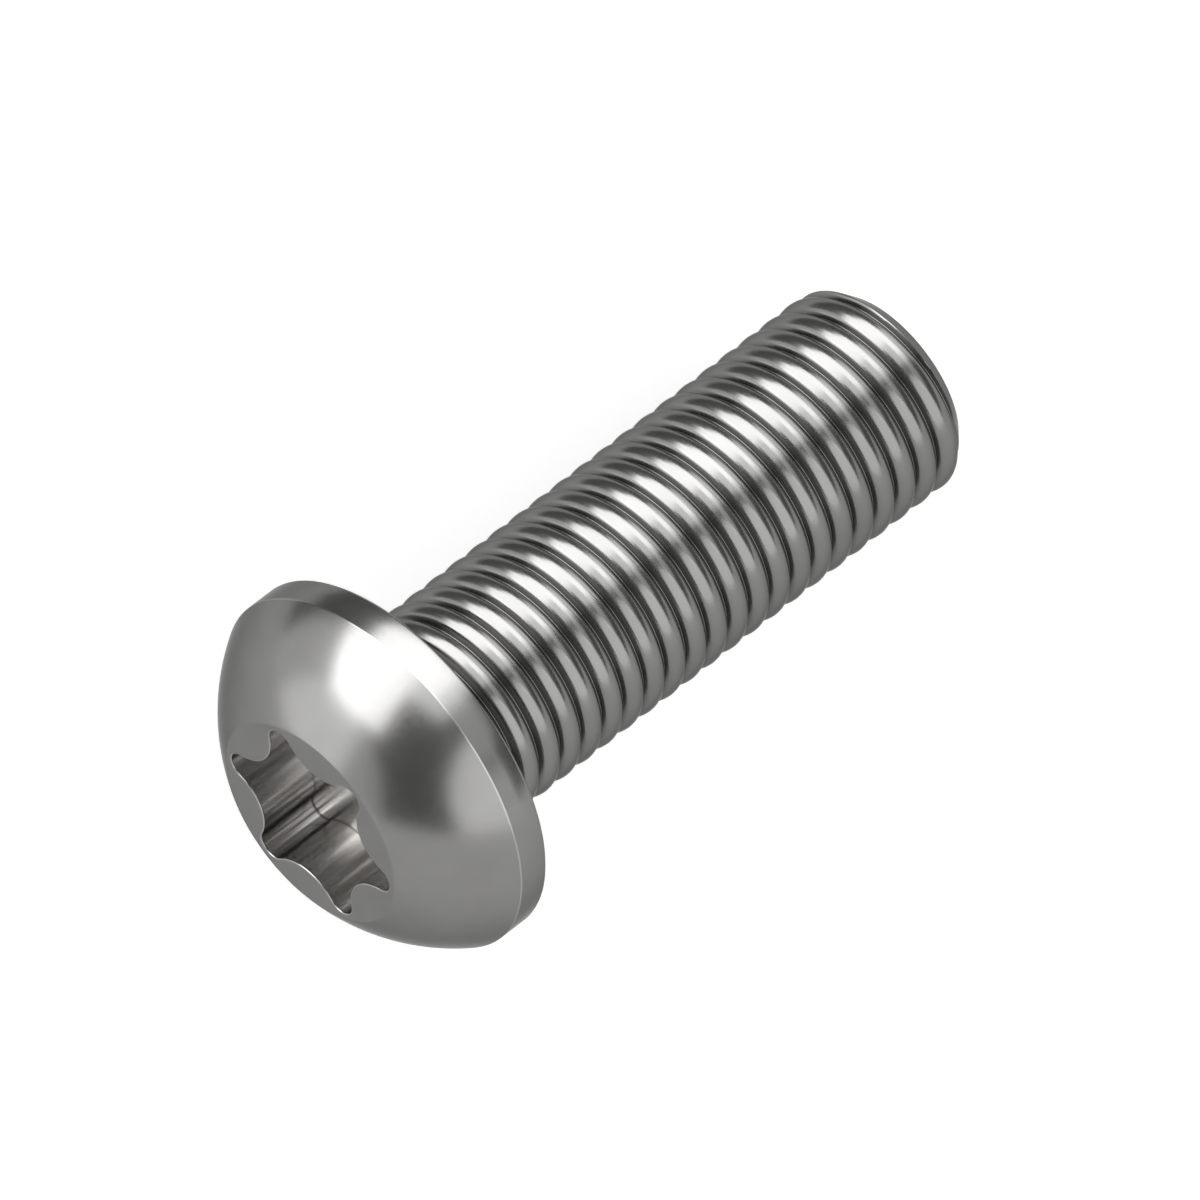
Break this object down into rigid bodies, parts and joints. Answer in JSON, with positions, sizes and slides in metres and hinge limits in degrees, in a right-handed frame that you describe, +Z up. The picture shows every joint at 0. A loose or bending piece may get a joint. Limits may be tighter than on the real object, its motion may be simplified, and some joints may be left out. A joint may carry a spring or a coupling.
{
  "type": "screw",
  "caption": "Button-head machine screw with a six-lobe socket and a right-hand metric thread, lying on its side.",
  "frame": {"origin": "on the surface the screw lies on, under the middle of its bounding box", "axes": "+X from the head towards the tip, +Z up; the screw's own axis dips 7.50 degrees below +X, in the XZ plane"},
  "size_m": [0.0426, 0.021, 0.021],
  "materials": {
    "steel": "satin"
  },
  "bodies": {
    "root": {"screw": "steel"}
  },
  "joints": []
}
